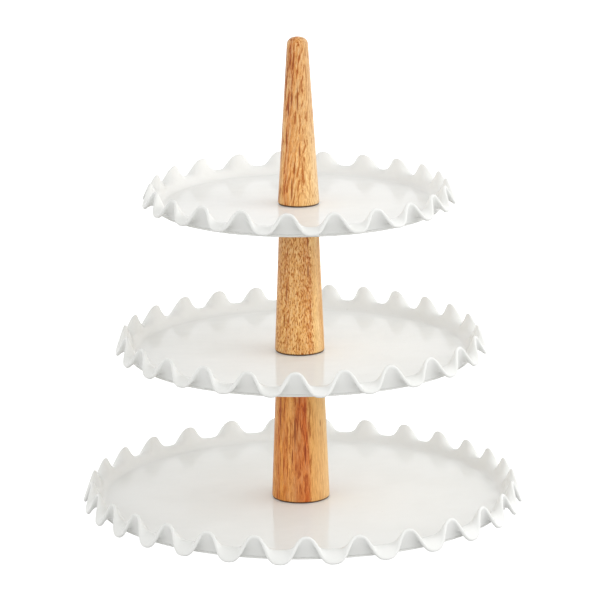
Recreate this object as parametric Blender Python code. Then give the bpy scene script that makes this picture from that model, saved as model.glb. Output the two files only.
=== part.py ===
"""Three-tier cake stand: ruffled ceramic plates clamped on a turned wooden column.

The column unscrews at three threads. Units are metres, +Z is up, the stand rests on z = 0,
the column is the Z axis, and the front of the stand faces -Y.
Angles around a plate are measured from the front (-Y) towards +X.
"""

import math
from collections import namedtuple

import bmesh
import bpy
from mathutils import Vector

# Ground, pads and foot ring
PAD_THICKNESS = 0.0018
PAD_RADIUS = 0.0040
PAD_TOP_RADIUS = 0.0034
PAD_SHOULDER = 0.0011
PAD_ANGLES = (45.0, 135.0, 225.0, 315.0)
FIT_GAP = 0.0002
FOOT_DEPTH = 0.0084
FOOT_INNER_SHARE = 0.60
FOOT_OUTER_SHARE = 0.66

# Plate floor; heights are counted from a plate's datum, the level of its outer lower edge
FLOOR_TOP = 0.0005
FLOOR_EDGE_TOP = 0.0015
FLOOR_BOTTOM = -0.0046
FLAT_CENTRE_RADIUS = 0.030
HOLE_RADIUS = 0.0040
FLOOR_EDGE_INSET = 0.0070
LOWER_EDGE_INSET = 0.0005
LOWER_EDGE_DROP = -0.0008
UNDER_EDGE_INSET = 0.0032
UNDER_EDGE_DROP = -0.0016

# Ruffled rim; each corner of the curves is (distance past the base radius, height over the datum).
# The last corner is the lip, at the tier's own crest height or spout height.
RIM_CREST = ((-0.0019, 0.0010), (-0.0012, 0.0052), (0.0012, 0.0105))
RIM_SPOUT = ((-0.0019, 0.0010), (-0.0020, 0.0058), (0.0038, 0.0070))
CREST_REACH = 0.0028
SPOUT_REACH = 0.0082
SPOUT_BREADTH = 1.2
STEEPNESS = 0.55
RIM_BASE_THICKNESS = 0.0038
RIM_LIP_THICKNESS = 0.0026
RIM_STEPS = (0.3, 0.65, 1.0)
OUTER_STEPS = (1.0, 0.55, 0.0)
COLUMNS_PER_WAVE = 8
SLOW_SHARE = 0.030
QUICK_SHARE = 0.020
CURVE_STEP = 0.01
FOOT_TAPER = 0.0010
SHARP_ANGLE = 40.0

# Tiers
BOTTOM_DATUM = PAD_THICKNESS + FIT_GAP + FOOT_DEPTH
LOWER_SPACING = 0.1049
UPPER_SPACING = 0.1037
HANDLE_HEIGHT = 0.1150

# A tier's first crest, sway and twist say where its crests are, in degrees; sway and twist are each
# (amount, direction). The rim's centre is its shift away from the hole, towards +X.
Tier = namedtuple(
    "Tier",
    "name base_radius datum waves first_crest sway twist crest_height spout_height shift",
)
BOTTOM = Tier(
    "bottom_plate", 0.1434, BOTTOM_DATUM, 29, -59.5, (1.2, 90.0), (2.9, 133.0),
    0.0150, -0.0009, 0.0012,
)
MIDDLE = Tier(
    "middle_plate", 0.1191, BOTTOM.datum + LOWER_SPACING, 25, -44.8, (5.7, 80.0), (1.8, -132.0),
    0.0160, 0.0020, 0.0010,
)
TOP = Tier(
    "top_plate", 0.0984, MIDDLE.datum + UPPER_SPACING, 22, -55.6, (3.0, 6.0), (1.9, 99.0),
    0.0150, 0.0028, 0.0,
)

# Gaskets
GASKET_THICKNESS = 0.0006
GASKET_INSET = 0.0010
GASKET_HOLE_RADIUS = 0.0036
GASKET_SPACE = GASKET_THICKNESS + 2 * FIT_GAP

# Wooden column
LOWER_POST_RADII = (0.0200, 0.0162)
MIDDLE_POST_RADII = (0.0171, 0.0133)
HANDLE_RADII = (0.0142, 0.0073)
POST_CHAMFER = 0.0007
HANDLE_DOME = 0.0062
DOME_STEPS = 5
POST_SIDES = 36

# Threads: M6, 1 mm pitch
THREAD_RADIUS = 0.0030
THREAD_ENGAGEMENT = 0.0120
STUD_BORE_RADIUS = 0.0033
STUD_BORE_DEPTH = 0.0200
STUD_CHAMFER = 0.0005
INSERT_RADIUS = 0.0049
INSERT_BORE_RADIUS = 0.00315
INSERT_LENGTH = 0.0140
INSERT_RECESS = 0.0003
INSERT_POCKET_RADIUS = 0.0051
INSERT_POCKET_DEPTH = 0.0150
SMALL_SIDES = 24

# Base screw, washer and seal, under the bottom plate
SEAL_THICKNESS = 0.0006
SEAL_RADIUS = 0.0100
WASHER_THICKNESS = 0.0010
WASHER_RADIUS = 0.0110
HEAD_THICKNESS = 0.0025
HEAD_RADIUS = 0.0062
HEAD_FACE_RADIUS = 0.0053
HEAD_BEVEL_HEIGHT = 0.0006
SOCKET_RADIUS = 0.0022
SOCKET_DEPTH = 0.0014
SOCKET_SIDES = 6


def clear_scene():
    for thing in list(bpy.data.objects):
        bpy.data.objects.remove(thing, do_unlink=True)


def make_material(name, colour, roughness, metallic=0.0):
    material = bpy.data.materials.new(name)
    material.use_nodes = True
    shader = material.node_tree.nodes["Principled BSDF"]
    shader.inputs["Base Color"].default_value = (*colour, 1.0)
    shader.inputs["Roughness"].default_value = roughness
    shader.inputs["Metallic"].default_value = metallic
    return material


def make_empty(name, height):
    empty = bpy.data.objects.new(name, None)
    empty.location.z = height
    bpy.context.scene.collection.objects.link(empty)
    return empty


def finish_object(mesh_builder, name, material, parent, location=(0.0, 0.0, 0.0)):
    """Turns the builder into a smooth-shaded object on its parent, placed in world metres."""
    bmesh.ops.recalc_face_normals(mesh_builder, faces=mesh_builder.faces)
    mesh = bpy.data.meshes.new(name)
    mesh_builder.to_mesh(mesh)
    mesh_builder.free()
    mesh.materials.append(material)
    mesh.shade_smooth()
    mesh.set_sharp_from_angle(angle=math.radians(SHARP_ANGLE))
    thing = bpy.data.objects.new(name, mesh)
    bpy.context.scene.collection.objects.link(thing)
    thing.parent = parent
    thing.location = Vector(location) - parent.location
    return thing


def add_ring(builder, points):
    return [builder.verts.new(point) for point in points]


def circle(radius, height, sides):
    """Points around the Z axis, from the front (-Y) towards +X."""
    turns = [2 * math.pi * side / sides for side in range(sides)]
    return [(radius * math.sin(turn), -radius * math.cos(turn), height) for turn in turns]


def turn_of(vertex):
    return math.atan2(vertex.co.x, -vertex.co.y) % (2 * math.pi)


def join_rings(builder, first, second):
    """Quads between two rings with the same number of points."""
    count = len(first)
    for index in range(count):
        after = (index + 1) % count
        builder.faces.new((first[index], first[after], second[after], second[index]))


def zip_rings(builder, first, second):
    """Triangles between two rings whose numbers of points differ, in order of angle."""
    first = sorted(first, key=turn_of)
    second = sorted(second, key=turn_of)
    full = 2 * math.pi
    i = j = 0
    while i < len(first) or j < len(second):
        a, next_a = first[i % len(first)], first[(i + 1) % len(first)]
        b, next_b = second[j % len(second)], second[(j + 1) % len(second)]
        turn_a = turn_of(next_a) + full * ((i + 1) // len(first))
        turn_b = turn_of(next_b) + full * ((j + 1) // len(second))
        if j == len(second) or (i < len(first) and turn_a <= turn_b):
            builder.faces.new((a, next_a, b))
            i += 1
        else:
            builder.faces.new((a, next_b, b))
            j += 1


def turned_solid(name, profile, sides, material, parent, height):
    """A solid of revolution from (radius, height) corners; a corner at radius 0 is a closed end."""
    builder = bmesh.new()
    rings = [add_ring(builder, circle(radius, z, sides)) for radius, z in profile if radius > 0]
    for first, second in zip(rings, rings[1:]):
        join_rings(builder, first, second)
    if profile[0][0] > 0:
        join_rings(builder, rings[-1], rings[0])
    else:
        builder.faces.new(rings[0])
        builder.faces.new(rings[-1])
    return finish_object(builder, name, material, parent, (0.0, 0.0, height))


def bezier(corners, t):
    """A point on a cubic curve through the first and last of four corners."""
    s = 1.0 - t
    weights = (s * s * s, 3 * s * s * t, 3 * s * t * t, t * t * t)
    return tuple(sum(w * corner[k] for w, corner in zip(weights, corners)) for k in (0, 1))


def wave_angle(tier, wave):
    """The angle in radians of a place in the ruffle; whole numbers are crests."""
    even = math.radians(tier.first_crest + 360.0 * wave / tier.waves)
    sway, sway_at = map(math.radians, tier.sway)
    twist, twist_at = map(math.radians, tier.twist)
    return even + sway * math.cos(even - sway_at) + twist * math.cos(2 * even - twist_at)


def crest_share(wave):
    """1 on a crest and 0 on a spout, with round crests, steep sides and broad spouts."""
    share = (0.5 + 0.5 * math.cos(2 * math.pi * wave)) ** SPOUT_BREADTH
    steep = share * share * (3.0 - 2.0 * share)
    return share + STEEPNESS * (steep - share)


def hand_made(angle, waves):
    """Slow changes of the ruffle's height around the rim, as a hand leaves them."""
    slow = SLOW_SHARE * math.sin(3 * angle + waves)
    quick = QUICK_SHARE * math.sin(7 * angle + 0.5 * waves)
    return 1.0 + slow + quick


def around_rim(tier, radius, angle, height):
    """A point at an angle around the centre of the tier's rim."""
    return Vector((tier.shift + radius * math.sin(angle), -radius * math.cos(angle), height))


def rim_point(tier, wave, t):
    """The middle of the rim's wall: t runs from its foot at 0 to its lip at 1."""
    angle = wave_angle(tier, wave)
    crest = crest_share(wave)
    crest_corners = RIM_CREST + ((CREST_REACH, tier.crest_height),)
    spout_corners = RIM_SPOUT + ((SPOUT_REACH, tier.spout_height),)
    corners = [
        tuple(crest * high + (1.0 - crest) * low for high, low in zip(high_corner, low_corner))
        for high_corner, low_corner in zip(crest_corners, spout_corners)
    ]
    out, up = bezier(corners, t)
    foot = RIM_CREST[0][1]
    height = foot + (up - foot) * hand_made(angle, tier.waves)
    return around_rim(tier, tier.base_radius + out, angle, height)


def along_rim(tier, wave, t):
    """The way along the rim, towards the next crest."""
    return rim_point(tier, wave + CURVE_STEP, t) - rim_point(tier, wave - CURVE_STEP, t)


def rim_normal(tier, wave, t):
    """The normal of the rim's wall, towards the plate's centre and up."""
    rise = rim_point(tier, wave, t + CURVE_STEP) - rim_point(tier, wave, t - CURVE_STEP)
    return rise.cross(along_rim(tier, wave, t)).normalized()


def rim_surface_point(tier, wave, t, side):
    """A point on the rim's inner (side 1) or outer (side -1) face."""
    thickness = RIM_BASE_THICKNESS + (RIM_LIP_THICKNESS - RIM_BASE_THICKNESS) * t
    offset = rim_normal(tier, wave, t) * (0.5 * thickness * side)
    return rim_point(tier, wave, t) + offset


def lip_tip(tier, wave):
    """The roundest point of the lip, half a thickness past the end of the wall."""
    outward = along_rim(tier, wave, 1.0).cross(rim_normal(tier, wave, 1.0)).normalized()
    return rim_point(tier, wave, 1.0) + outward * (0.5 * RIM_LIP_THICKNESS)


def make_plate(tier, material, parent):
    """A shallow ruffled plate with a centre hole and a foot ring, as one closed body."""
    builder = bmesh.new()
    columns = tier.waves * COLUMNS_PER_WAVE
    waves = [(column + 0.5) / COLUMNS_PER_WAVE for column in range(columns)]
    foot_inner = FOOT_INNER_SHARE * tier.base_radius
    foot_outer = FOOT_OUTER_SHARE * tier.base_radius

    def wavy_ring(radius, height):
        return [around_rim(tier, radius, wave_angle(tier, wave), height) for wave in waves]

    rim = [wavy_ring(tier.base_radius - FLOOR_EDGE_INSET, FLOOR_EDGE_TOP)]
    rim += [[rim_surface_point(tier, wave, t, 1) for wave in waves] for t in RIM_STEPS]
    rim += [[lip_tip(tier, wave) for wave in waves]]
    rim += [[rim_surface_point(tier, wave, t, -1) for wave in waves] for t in OUTER_STEPS]
    rim += [wavy_ring(tier.base_radius - LOWER_EDGE_INSET, LOWER_EDGE_DROP)]
    rim += [wavy_ring(tier.base_radius - UNDER_EDGE_INSET, UNDER_EDGE_DROP)]
    rim_rings = [add_ring(builder, points) for points in rim]
    for first, second in zip(rim_rings, rim_rings[1:]):
        join_rings(builder, first, second)

    hole_top = add_ring(builder, circle(HOLE_RADIUS, FLOOR_TOP, SMALL_SIDES))
    flat_edge = add_ring(builder, circle(FLAT_CENTRE_RADIUS, FLOOR_TOP, SMALL_SIDES))
    foot_profile = (
        (foot_outer + FOOT_TAPER, FLOOR_BOTTOM),
        (foot_outer, -FOOT_DEPTH),
        (foot_inner, -FOOT_DEPTH),
        (foot_inner - FOOT_TAPER, FLOOR_BOTTOM),
    )
    foot_rings = [add_ring(builder, circle(radius, z, POST_SIDES)) for radius, z in foot_profile]
    hole_bottom = add_ring(builder, circle(HOLE_RADIUS, FLOOR_BOTTOM, SMALL_SIDES))
    join_rings(builder, hole_top, flat_edge)
    zip_rings(builder, flat_edge, rim_rings[0])
    zip_rings(builder, rim_rings[-1], foot_rings[0])
    for first, second in zip(foot_rings, foot_rings[1:]):
        join_rings(builder, first, second)
    zip_rings(builder, foot_rings[-1], hole_bottom)
    join_rings(builder, hole_bottom, hole_top)
    return finish_object(builder, tier.name, material, parent, (0.0, 0.0, tier.datum))


def post_profile(radii, length, top_bore):
    """Outline of a post with a pocket for its insert below and, if asked, a stud bore on top."""
    bottom_radius, top_radius = radii
    outline = [
        (top_radius - POST_CHAMFER, length),
        (top_radius, length - POST_CHAMFER),
        (bottom_radius, POST_CHAMFER),
        (bottom_radius - POST_CHAMFER, 0.0),
        (INSERT_POCKET_RADIUS, 0.0),
        (INSERT_POCKET_RADIUS, INSERT_POCKET_DEPTH),
        (0.0, INSERT_POCKET_DEPTH),
    ]
    if top_bore:
        bore = [(0.0, length - STUD_BORE_DEPTH), (STUD_BORE_RADIUS, length - STUD_BORE_DEPTH)]
        return bore + [(STUD_BORE_RADIUS, length)] + outline
    return [(0.0, length)] + outline


def dome_corners(radius, height, depth):
    """Corners of a rounded end, from its crown down to the full radius."""
    turns = [0.5 * math.pi * step / DOME_STEPS for step in range(1, DOME_STEPS)]
    return [(radius * math.sin(turn), height - depth * (1.0 - math.cos(turn))) for turn in turns]


def make_post(name, radii, length, material, parent, height):
    profile = post_profile(radii, length, top_bore=True)
    return turned_solid(name, profile, POST_SIDES, material, parent, height)


def make_handle(material, parent, height):
    """The tapered top grip, with a domed end and a pocket for its insert."""
    top_radius = HANDLE_RADII[1]
    pocket = post_profile(HANDLE_RADII, HANDLE_HEIGHT, top_bore=False)[3:]
    dome = dome_corners(top_radius, HANDLE_HEIGHT, HANDLE_DOME)
    profile = [(0.0, HANDLE_HEIGHT)] + dome + [(top_radius, HANDLE_HEIGHT - HANDLE_DOME)] + pocket
    return turned_solid("top_handle", profile, POST_SIDES, material, parent, height)


def make_insert(name, material, parent, post_height):
    """A threaded sleeve let into the bottom of a post."""
    profile = [
        (INSERT_RADIUS, INSERT_LENGTH),
        (INSERT_RADIUS, 0.0),
        (INSERT_BORE_RADIUS, 0.0),
        (INSERT_BORE_RADIUS, INSERT_LENGTH),
    ]
    height = post_height + INSERT_RECESS
    return turned_solid(name, profile, SMALL_SIDES, material, parent, height)


def rod_corners(length):
    """A plain rod with chamfered ends, from its top corner down."""
    return [
        (THREAD_RADIUS - STUD_CHAMFER, length),
        (THREAD_RADIUS, length - STUD_CHAMFER),
        (THREAD_RADIUS, STUD_CHAMFER),
        (THREAD_RADIUS - STUD_CHAMFER, 0.0),
    ]


def make_stud(name, material, parent, post_top, next_post_bottom):
    """A threaded rod fixed in a post's top, which the post above screws onto."""
    start = post_top - STUD_BORE_DEPTH + FIT_GAP
    length = next_post_bottom + THREAD_ENGAGEMENT - start
    profile = [(0.0, length)] + rod_corners(length) + [(0.0, 0.0)]
    return turned_solid(name, profile, SMALL_SIDES, material, parent, start)


def make_ring(name, outer, inner, thickness, material, parent, height):
    """A flat washer shape."""
    profile = [(outer, thickness), (outer, 0.0), (inner, 0.0), (inner, thickness)]
    return turned_solid(name, profile, SMALL_SIDES, material, parent, height)


def make_gasket(name, post_radius, material, parent, height):
    """A thin ring between the end of a post and a plate."""
    outer = post_radius - GASKET_INSET
    make_ring(name, outer, GASKET_HOLE_RADIUS, GASKET_THICKNESS, material, parent, height)


def make_base_screw(material, parent, head_top, post_bottom):
    """A low-headed machine screw with a hexagon socket, pointing up through the bottom plate."""
    height = head_top - HEAD_THICKNESS
    length = post_bottom + THREAD_ENGAGEMENT - height
    builder = bmesh.new()
    profile = [
        (THREAD_RADIUS - STUD_CHAMFER, length),
        (THREAD_RADIUS, length - STUD_CHAMFER),
        (THREAD_RADIUS, HEAD_THICKNESS),
        (HEAD_RADIUS, HEAD_THICKNESS),
        (HEAD_RADIUS, HEAD_BEVEL_HEIGHT),
        (HEAD_FACE_RADIUS, 0.0),
    ]
    rings = [add_ring(builder, circle(radius, z, SMALL_SIDES)) for radius, z in profile]
    socket_mouth = add_ring(builder, circle(SOCKET_RADIUS, 0.0, SOCKET_SIDES))
    socket_end = add_ring(builder, circle(SOCKET_RADIUS, SOCKET_DEPTH, SOCKET_SIDES))
    builder.faces.new(rings[0])
    for first, second in zip(rings, rings[1:]):
        join_rings(builder, first, second)
    zip_rings(builder, rings[-1], socket_mouth)
    join_rings(builder, socket_mouth, socket_end)
    builder.faces.new(socket_end)
    return finish_object(builder, "base_screw", material, parent, (0.0, 0.0, height))


def make_pads(material, parent):
    """Four round silicone pads under the bottom plate's foot ring."""
    foot_radius = 0.5 * (FOOT_INNER_SHARE + FOOT_OUTER_SHARE) * BOTTOM.base_radius
    profile = [
        (0.0, PAD_THICKNESS),
        (PAD_TOP_RADIUS, PAD_THICKNESS),
        (PAD_RADIUS, PAD_SHOULDER),
        (PAD_RADIUS, 0.0),
        (0.0, 0.0),
    ]
    for number, degrees in enumerate(PAD_ANGLES, start=1):
        pad = turned_solid(f"foot_pad_{number}", profile, SMALL_SIDES, material, parent, 0.0)
        turn = math.radians(degrees)
        pad.location.x = foot_radius * math.sin(turn)
        pad.location.y = -foot_radius * math.cos(turn)


def make_base_fastener(steel, rubber, parent, post_bottom):
    """The screw, washer and seal that clamp the bottom plate to the column."""
    seal_height = BOTTOM.datum + FLOOR_BOTTOM - FIT_GAP - SEAL_THICKNESS
    washer_height = seal_height - FIT_GAP - WASHER_THICKNESS
    inner = HOLE_RADIUS - 2 * FIT_GAP
    make_ring("base_seal", SEAL_RADIUS, inner, SEAL_THICKNESS, rubber, parent, seal_height)
    make_ring("base_washer", WASHER_RADIUS, inner, WASHER_THICKNESS, steel, parent, washer_height)
    make_base_screw(steel, parent, washer_height - FIT_GAP, post_bottom)


def post_bottom_over(tier):
    """The height of the post that stands on a plate, over its gasket."""
    return tier.datum + FLOOR_TOP + GASKET_SPACE


def post_top_under(tier):
    """The height of the post top that carries a plate, under its seat gasket."""
    return tier.datum + FLOOR_BOTTOM - GASKET_SPACE


def make_column_section(prefix, radii, tier_below, tier_above, wood, steel, rubber):
    """A post with its insert, stud and two gaskets; the lower gasket has its own parent."""
    bottom = post_bottom_over(tier_below)
    top = post_top_under(tier_above)
    gasket_empty = make_empty(f"{prefix}_lift", bottom)
    post_empty = make_empty(f"{prefix}_turn", bottom)
    gasket_height = bottom - FIT_GAP - GASKET_THICKNESS
    make_gasket(f"{prefix}_gasket", radii[0], rubber, gasket_empty, gasket_height)
    make_post(prefix, radii, top - bottom, wood, post_empty, bottom)
    make_insert(f"{prefix}_insert", steel, post_empty, bottom)
    make_stud(f"{prefix}_stud", steel, post_empty, top, post_bottom_over(tier_above))
    make_gasket(f"{prefix}_seat", radii[1], rubber, post_empty, top + FIT_GAP)


def make_handle_section(wood, steel, rubber):
    bottom = post_bottom_over(TOP)
    gasket_empty = make_empty("handle_lift", bottom)
    handle_empty = make_empty("handle_turn", bottom)
    gasket_height = bottom - FIT_GAP - GASKET_THICKNESS
    make_gasket("handle_gasket", HANDLE_RADII[0], rubber, gasket_empty, gasket_height)
    make_handle(wood, handle_empty, bottom)
    make_insert("handle_insert", steel, handle_empty, bottom)


def main():
    clear_scene()
    glaze = make_material("white_glaze", (0.86, 0.855, 0.84), 0.16)
    lower_wood = make_material("lower_post_wood", (0.62, 0.31, 0.115), 0.48)
    middle_wood = make_material("middle_post_wood", (0.60, 0.33, 0.135), 0.48)
    handle_wood = make_material("handle_wood", (0.64, 0.36, 0.15), 0.46)
    steel = make_material("zinc_plated_steel", (0.62, 0.62, 0.60), 0.32, 1.0)
    rubber = make_material("dark_rubber", (0.05, 0.045, 0.04), 0.7)
    silicone = make_material("pad_silicone", (0.75, 0.75, 0.73), 0.5)

    base = make_empty("base", 0.0)
    make_plate(BOTTOM, glaze, base)
    make_pads(silicone, base)

    screw_empty = make_empty("column_turn", BOTTOM.datum)
    make_base_fastener(steel, rubber, screw_empty, post_bottom_over(BOTTOM))

    make_column_section("lower_post", LOWER_POST_RADII, BOTTOM, MIDDLE, lower_wood, steel, rubber)
    make_plate(MIDDLE, glaze, make_empty("middle_plate_turn", MIDDLE.datum))
    make_column_section("middle_post", MIDDLE_POST_RADII, MIDDLE, TOP, middle_wood, steel, rubber)
    make_plate(TOP, glaze, make_empty("top_plate_turn", TOP.datum))
    make_handle_section(handle_wood, steel, rubber)


main()
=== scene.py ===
"""Looks of the tiered cake stand: ruffled glazed plates on a turned wooden column.

Lengths are metres, +Z is up and the front of the stand faces -Y. Every height comes from the
CAD frame. Angles are measured from the front (-Y) towards +X.
"""

import math
from collections import namedtuple

import bpy
import numpy as np
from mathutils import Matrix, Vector


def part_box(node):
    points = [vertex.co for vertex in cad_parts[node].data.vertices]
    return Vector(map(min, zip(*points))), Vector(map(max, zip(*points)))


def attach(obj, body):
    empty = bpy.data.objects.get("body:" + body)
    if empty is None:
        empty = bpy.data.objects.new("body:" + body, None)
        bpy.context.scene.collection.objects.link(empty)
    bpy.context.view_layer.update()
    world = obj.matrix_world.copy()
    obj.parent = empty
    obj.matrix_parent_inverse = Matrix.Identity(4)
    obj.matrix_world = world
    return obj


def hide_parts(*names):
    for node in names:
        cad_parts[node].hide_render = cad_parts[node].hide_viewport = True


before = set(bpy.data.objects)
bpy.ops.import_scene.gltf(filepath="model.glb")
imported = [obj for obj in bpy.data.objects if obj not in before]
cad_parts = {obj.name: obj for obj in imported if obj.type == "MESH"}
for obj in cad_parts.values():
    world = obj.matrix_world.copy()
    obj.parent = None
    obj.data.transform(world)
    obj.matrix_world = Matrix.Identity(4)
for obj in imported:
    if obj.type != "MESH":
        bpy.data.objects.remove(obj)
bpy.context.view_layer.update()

# Ruffled rim, as in the CAD: corners are (past the base radius, over the plate's datum).
# The last corner is the lip, at the tier's own crest height or spout height.
RIM_CREST = ((-0.0019, 0.0010), (-0.0012, 0.0052), (0.0012, 0.0105))
RIM_SPOUT = ((-0.0019, 0.0010), (-0.0020, 0.0058), (0.0038, 0.0070))
CREST_REACH = 0.0028
SPOUT_REACH = 0.0082
SPOUT_BREADTH = 1.2
STEEPNESS = 0.55
RIM_BASE_THICKNESS = 0.0038
RIM_LIP_THICKNESS = 0.0026
SLOW_SHARE = 0.030
QUICK_SHARE = 0.020
CURVE_STEP = 0.01
COLUMNS_PER_WAVE = 20
WALL_STEPS = 12
OUTER_STEPS = 16
LIP_STEPS = 8
FILLET_STEPS = 8
FILLET_END = 0.3
CORNER_STEPS = 4
CORNER_SHARE = 0.45

# Plate floor and foot ring; heights are over the datum
FLOOR_TOP = 0.0005
FLOOR_EDGE_TOP = 0.0015
FLOOR_BOTTOM = -0.0046
FLAT_CENTRE_RADIUS = 0.030
FLOOR_EDGE_INSET = 0.0070
LOWER_EDGE_INSET = 0.0005
LOWER_EDGE_DROP = -0.0008
UNDER_EDGE_INSET = 0.0032
UNDER_EDGE_DROP = -0.0016
HOLE_RADIUS = 0.0040
FOOT_DEPTH = 0.0084
FOOT_INNER_SHARE = 0.60
FOOT_OUTER_SHARE = 0.66
FOOT_TAPER = 0.0010
BARE_DEPTH_SHARE = 0.97
FOOT_ROUNDING = 0.0007
GROOVE_DEPTH = 0.0009
GROOVE_HEIGHT = 0.0006
GROOVE_WIDTH = 0.0003
INNER_UNDERSIDE_RADIUS = 0.012
FLAT_FLOOR_RADII = (HOLE_RADIUS, 0.006, 0.018)
FLOOR_STEPS = 11

# Sway and twist are (amount, direction) in degrees; shift is the rim's centre towards +X
Tier = namedtuple(
    "Tier",
    "node body base_radius waves first_crest sway twist crest_height spout_height shift",
)
TIERS = (
    Tier(
        "bottom_plate", "base", 0.1434, 29, -59.5, (1.2, 90.0), (2.9, 133.0),
        0.0150, -0.0009, 0.0012,
    ),
    Tier(
        "middle_plate", "middle_tier", 0.1191, 25, -44.8, (5.7, 80.0), (1.8, -132.0),
        0.0160, 0.0020, 0.0010,
    ),
    Tier(
        "top_plate", "top_tier", 0.0984, 22, -55.6, (3.0, 6.0), (1.9, 99.0),
        0.0150, 0.0028, 0.0,
    ),
)

# Wooden column
POST_SIDES = 160
POST_ROUNDING = 0.0006
POCKET_RADIUS = 0.0051
POCKET_DEPTH = 0.0150
STUD_BORE_RADIUS = 0.0033
STUD_BORE_DEPTH = 0.0200
HANDLE_TOP_RADIUS = 0.0073
HANDLE_DOME = 0.0062
DOME_STEPS = 14
DOME_FULLNESS = 0.82

# Wood grain. Levels are of noise: fully pale, no longer pale, not yet dark, fully dark.
# Reaches stretch the noise along the grain. Angles that end in _TURN or _SIDES are radians.
BAND_WANDER = 0.55
ARC_TURN = 0.20
ARC_DROP = 560.0
ARC_BEND = 0.012
ARC_SCALE = 210.0
ARC_FADE = (0.35, 0.60)
ARC_SIDES = (0.6, 1.3)
CALM_END_DEGREES = (72.0, 100.0)
STREAK_LEVELS = (0.39, 0.49, 0.52, 0.59)
FLECK_LEVELS = (0.38, 0.47, 0.54, 0.59)
STREAK_REACH = (1.0, 1.0, 0.075)
FLECK_REACH = (1.0, 1.0, 0.30)
FINE_REACH = (1.0, 1.0, 0.06)
FINE_DARKENING = 0.35
PORE_GLOSS_LOSS = 0.12
WOOD_ROUGHNESS = 0.45
PALE_WOOD = (0.95, 0.67, 0.34, 1.0)
DEEP_WOOD = (0.50, 0.27, 0.13, 1.0)
DEEPEST_WOOD = (0.38, 0.20, 0.10, 1.0)

# Small metal and rubber pieces
THREAD_PITCH = 0.0010
THREAD_DEPTH = 0.0005
THREAD_FLANK = 5.2
THREAD_LAND = 0.8
SHANK_RADIUS = 0.0030
RINGS_PER_PITCH = 8
SMALL_SIDES = 48
RING_SIDES = 72
EDGE_ROUNDING = 0.00018
PAD_ROUNDING = 0.0003
PAD_TOP_SHARE = 0.86
PAD_SHOULDER_SHARE = 0.6
HEAD_THICKNESS = 0.0025
HEAD_EASING = 0.0006
HEAD_STEPS = 6
SOCKET_RADIUS = 0.0022
SOCKET_DEPTH = 0.0014
INSERT_BORE_RADIUS = 0.00315
KNURL_DEPTH = 0.00012
RING_HOLE_RADIUS = 0.0036
GASKET_SPREAD = 0.0006
RING_CLOSE_SHARE = 0.9
TURNED_SHARP = 35.0
METAL_SHARP = 40.0
LEVEL_REACH = 0.0010

# Camera and studio. Room levels are (place, light): 0 is straight down, 0.5 level, 1 straight up.
CAMERA_DISTANCE = 2.662
CAMERA_ELEVATION = 13.81
CAMERA_LENS = 231.8
CAMERA_ROLL = -0.45
CAMERA_AIM = (0.0004, 0.0, 0.1514)
ROOM_LIGHT = 1.68
ROOM_LEVELS = ((0.0, 0.26), (0.42, 0.34), (0.53, 0.84), (0.64, 1.0), (0.80, 0.64), (1.0, 0.22))
SIDE_LIGHT = 0.09
BACK_DIP = 0.84
BACK_DIP_FROM = 0.72
BACK_DIP_FULL = 0.93
KEY_AZIMUTH = 82.0
KEY_ELEVATION = 34.0
KEY_DISTANCE = 1.8
KEY_SIZE = 1.0
KEY_POWER = 6.0
FLOOR_REACH = 8.0
BACKDROP_RADIUS = 14.0
BACKDROP_TOP = 0.48 * math.pi
BACKDROP_RINGS = 12
BACKDROP_SINK = 0.2


def set_stops(ramp, stops):
    """Gives a colour ramp its (position, colour) stops, in order."""
    elements = ramp.elements
    elements[0].position, elements[-1].position = stops[0][0], stops[-1][0]
    elements[0].color, elements[-1].color = (*stops[0][1], 1.0), (*stops[-1][1], 1.0)
    for where, colour in stops[1:-1]:
        elements.new(where).color = (*colour, 1.0)


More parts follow.
